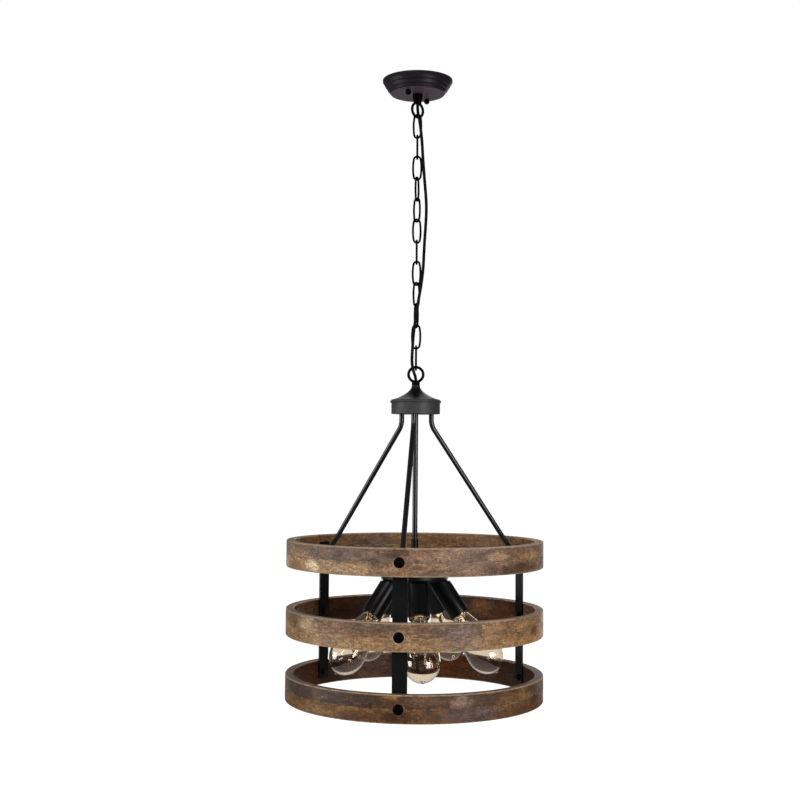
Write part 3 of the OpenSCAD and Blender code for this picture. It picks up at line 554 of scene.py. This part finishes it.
bulbSet = {
    # a lamp's axis passes this far from the middle at the pan's floor, and the bulb's seat is this far along it
    "reach": 0.043, "panFloor": -0.904, "seat": 0.071,
    "neckRadius": 0.0132, "radius": 0.032, "sideLength": 0.08, "endLength": 0.036, "wall": 0.0009, "sides": 72,
    "tipRadius": 0.0035, "tipHeight": 0.0036,
    # the glass mount's profile: along the axis, radius
    "stem": [(0.0, 0.0102), (0.002, 0.0104), (0.006, 0.0082), (0.012, 0.0055), (0.018, 0.0042), (0.028, 0.0036),
             (0.034, 0.0022), (0.05, 0.0018), (0.0535, 0.0018), (0.055, 0.0026), (0.0568, 0.0028), (0.0585, 0.0018),
             (0.0592, 0.0)],
    "stemSides": 40, "wireRadius": 0.0004, "spread": 0.013, "wireEnd": 0.062, "bow": 0.004,
    "coilRadius": 0.0008, "coilWire": 0.00018, "turns": 34,
    # the points of a lead and of a thin support, but the last: sideways, along
    "lead": [(0.0022, 0.026), (0.003, 0.036), (0.006, 0.046)], "support": [(0.002, 0.0565), (0.0078, 0.061)],
}


# Points (across, sideways, along) on the lamp's axis, in the part's frame. Along runs outward from the bulb's seat.
def onLamp(axis, points):
    down = np.array(axis, float) / np.linalg.norm(axis)
    out = down * (1, 1, 0) / np.linalg.norm(down[:2])
    sideways = np.cross((0, 0, 1), out)
    across = np.cross(sideways, down)
    start = bulbSet["reach"] * out + np.array([0, 0, bulbSet["panFloor"]]) + bulbSet["seat"] * down
    p = np.asarray(points, float)
    return start + p[:, :1] * across + p[:, 1:2] * sideways + p[:, 2:] * down


# The profile's (along, radius) points turned once round the axis. Its last point is on the axis and is one vertex.
def turned(profile, sides, start=0):
    line = np.asarray(profile, float)
    rings, tip = line[:-1], line[-1]
    turn = 2 * np.pi * np.arange(sides) / sides
    along, radius = rings[:, :1], rings[:, 1:]
    verts = np.stack([radius * np.cos(turn), radius * np.sin(turn), np.repeat(along, sides, 1)], axis=-1)
    last = start + (len(rings) - 1) * sides
    fan = [(last + k, last + (k + 1) % sides, last + sides) for k in range(sides)]
    return np.vstack([verts.reshape(-1, 3), (0, 0, tip[0])]), gridFaces(len(rings), sides, start) + fan


# The glass is one closed shell: the side's radius grows from the neck as the sine of a quarter turn, a little
# sharpened, and the end is a quarter of an ellipse. The inner wall is the same line less the glass. Outside, the end
# stops short at the sealed tip, whose radius falls as a cosine's share of the way from its foot to its point.
def bulbShell():
    w = bulbSet
    t = np.linspace(0, 1, 45)
    swell = (w["radius"] - w["neckRadius"]) * np.sin(np.pi / 2 * t) ** 1.1
    tipTurn = np.arccos(w["tipRadius"] / w["radius"])

    def line(less, last):
        q = np.linspace(0, last, 29)[1:]
        side = [w["sideLength"] * t, w["neckRadius"] - less + swell]
        end = [w["sideLength"] + (w["endLength"] - less) * np.sin(q), (w["radius"] - less) * np.cos(q)]
        return np.vstack([np.stack(side, axis=1), np.stack(end, axis=1)])

    up = np.linspace(0, 1, 13)[1:]
    tip = np.stack([w["sideLength"] + w["endLength"] * np.sin(tipTurn) + w["tipHeight"] * np.sin(np.pi / 2 * up),
                    w["tipRadius"] * (0.5 + 0.5 * np.cos(np.pi * up)) ** 0.8], axis=1)
    outer, outerFaces = turned(np.vstack([line(0, tipTurn), tip]), w["sides"])
    inner, innerFaces = turned(line(w["wall"], np.pi / 2), w["sides"], len(outer))
    k = np.arange(w["sides"])
    n = (k + 1) % w["sides"]
    mouth = np.stack([k, n, n + len(outer), k + len(outer)], axis=1).tolist()
    return np.vstack([outer, inner]), outerFaces + innerFaces + mouth


# Two leads that spread from the mount, the coil between their ends, which bows out as a half sine, and three thin
# supports that hold it.
def wiresOf(axis):
    w = bulbSet
    parts = []
    for side in (-1, 1):
        lead = [(0, side * aside, along) for aside, along in [*w["lead"], (w["spread"], w["wireEnd"])]]
        parts.append((smoothPath(lead, 6), w["wireRadius"], 8))
    t = np.linspace(0, 1, w["turns"] * 10)
    wind = 2 * np.pi * w["turns"] * t
    coil = np.stack([w["coilRadius"] * np.cos(wind), w["spread"] * (2 * t - 1),
                     w["wireEnd"] + w["bow"] * np.sin(np.pi * t) + w["coilRadius"] * np.sin(wind)], axis=1)
    parts.append((coil, w["coilWire"], 5))
    for share in (-0.5, 0, 0.5):
        end = (w["spread"], w["wireEnd"] + w["bow"] * np.cos(np.pi * share / 2))
        support = [(0, share * aside, along) for aside, along in [*w["support"], end]]
        parts.append((smoothPath(support, 4), w["coilWire"], 5))
    verts, faces, count = [], [], 0
    for path, radius, sides in parts:
        v, f = carriedTube(path, radius, sides, count)
        verts.append(v)
        faces += f
        count += len(v)
    return onLamp(axis, np.vstack(verts)), faces


steel, steelTree = newFinish("leadWire")
shade(steelTree, {"Base Color": linear(*plainSet["leadWire"]["color"]), "Metallic": 1.0,
                  "Roughness": plainSet["leadWire"]["rough"]})
axes = {joint["name"]: joint["axis"] for joint in frame["joints"]}
shellVerts, shellFaces = bulbShell()
mountVerts, mountFaces = turned(bulbSet["stem"], bulbSet["stemSides"])
mountFaces = mountFaces + [list(range(bulbSet["stemSides"]))]  # its foot is closed by one face
for k in lamps:
    axis = axes[f"bulb_{k}_out"]
    shell = addMesh(f"bulbGlass{k}", onLamp(axis, shellVerts), shellFaces)
    shell.data.materials.append(glass)
    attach(shell, f"bulb_{k}")
    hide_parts(f"bulb_{k}_glass")
    mount = addMesh(f"bulbMount{k}", onLamp(axis, mountVerts), mountFaces)
    mount.data.materials.append(glass)
    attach(mount, f"bulb_{k}")
    wires = addMesh(f"bulbWires{k}", *wiresOf(axis))
    wires.data.materials.append(steel)
    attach(wires, f"bulb_{k}")
print("bulbs fitted")


# floor, light and background

stageSet = {
    "floorDepth": -1.85, "floorSize": 60, "floorGlow": 0.9, "floorBounce": 0.1, "backGlow": 1.0, "ambient": 0.24,
    # each light's place, aim, width, height and power, and whether it shows only in reflections: three soft lights, two
    # tall soft boxes at the sides, and two low panels behind for the pale rims of the glass
    "lights": {
        "keyLight": ((-1.2, -2.4, 0.7), (0, 0, -0.85), 1.4, 1.4, 36, False),
        "fillLight": ((1.8, -1.8, -0.2), (0, 0, -0.9), 1.4, 1.4, 13, False),
        "backLight": ((0.4, 2.4, 0.4), (0, 0, -0.9), 1.6, 1.6, 13, False),
        "rightBox": ((1.35, -1.65, -0.7), (0, 0, -0.9), 1.0, 1.6, 50, True),
        "leftBox": ((-2.1, -0.5, -0.6), (0, 0, -0.9), 1.0, 1.6, 50, True),
        "leftRim": ((-1.6, 3, -1.3), (0, 0, -1), 1.0, 0.8, 4, True),
        "rightRim": ((1.6, 3, -1.3), (0, 0, -1), 1.0, 0.8, 8, True),
    },
}


# A flat light at its place, turned to its aim.
def softLight(name, place, aim, width, height, power, onlyGloss):
    data = bpy.data.lights.new(name, "AREA")
    data.shape, data.size, data.size_y, data.energy = "RECTANGLE", width, height, power
    light = bpy.data.objects.new(name, data)
    light.visible_diffuse = not onlyGloss
    light.location = place
    light.rotation_euler = (Vector(aim) - Vector(place)).to_track_quat("-Z", "Y").to_euler()
    bpy.context.scene.collection.objects.link(light)


# One strength for what is seen, also straight through glass, and another for what lights and mirrors the rest.
def seenOrNot(tree, seen, unseen):
    rays = put(tree, "LightPath").outputs
    bounced = calc(tree, "ADD", rays["Glossy Depth"], rays["Diffuse Depth"])
    straight = calc(tree, "MAXIMUM", rays["Is Camera Ray"], rays["Is Transmission Ray"])
    share = calc(tree, "MULTIPLY", straight, calc(tree, "LESS_THAN", bounced, 0.5))
    return calc(tree, "MULTIPLY_ADD", share, seen - unseen, unseen)


half, depth = stageSet["floorSize"] / 2, stageSet["floorDepth"]
corners = [(-half, -half, depth), (half, -half, depth), (half, half, depth), (-half, half, depth)]
floor = addMesh("floor", corners, [(0, 1, 2, 3)], False)
floorFinish, floorTree = newFinish("paleFloor")
glow = seenOrNot(floorTree, stageSet["floorGlow"], stageSet["floorBounce"])
shade(floorTree, {"Base Color": (0.7, 0.7, 0.7, 1), "Roughness": 0.9, "Specular IOR Level": 0.1,
                  "Emission Color": (1, 1, 1, 1), "Emission Strength": glow})
floor.data.materials.append(floorFinish)
for name, light in stageSet["lights"].items():
    softLight(name, *light)

world = bpy.data.worlds.new("studio")
world.use_nodes = True
tree = world.node_tree
tree.nodes.clear()
glow = seenOrNot(tree, stageSet["backGlow"], stageSet["ambient"])
back = put(tree, "Background", {"Color": (1, 1, 1, 1), "Strength": glow})
put(tree, "OutputWorld", {"Surface": back.outputs[0]})
bpy.context.scene.world = world
bpy.context.scene.view_settings.view_transform = "Standard"
print("stage set")
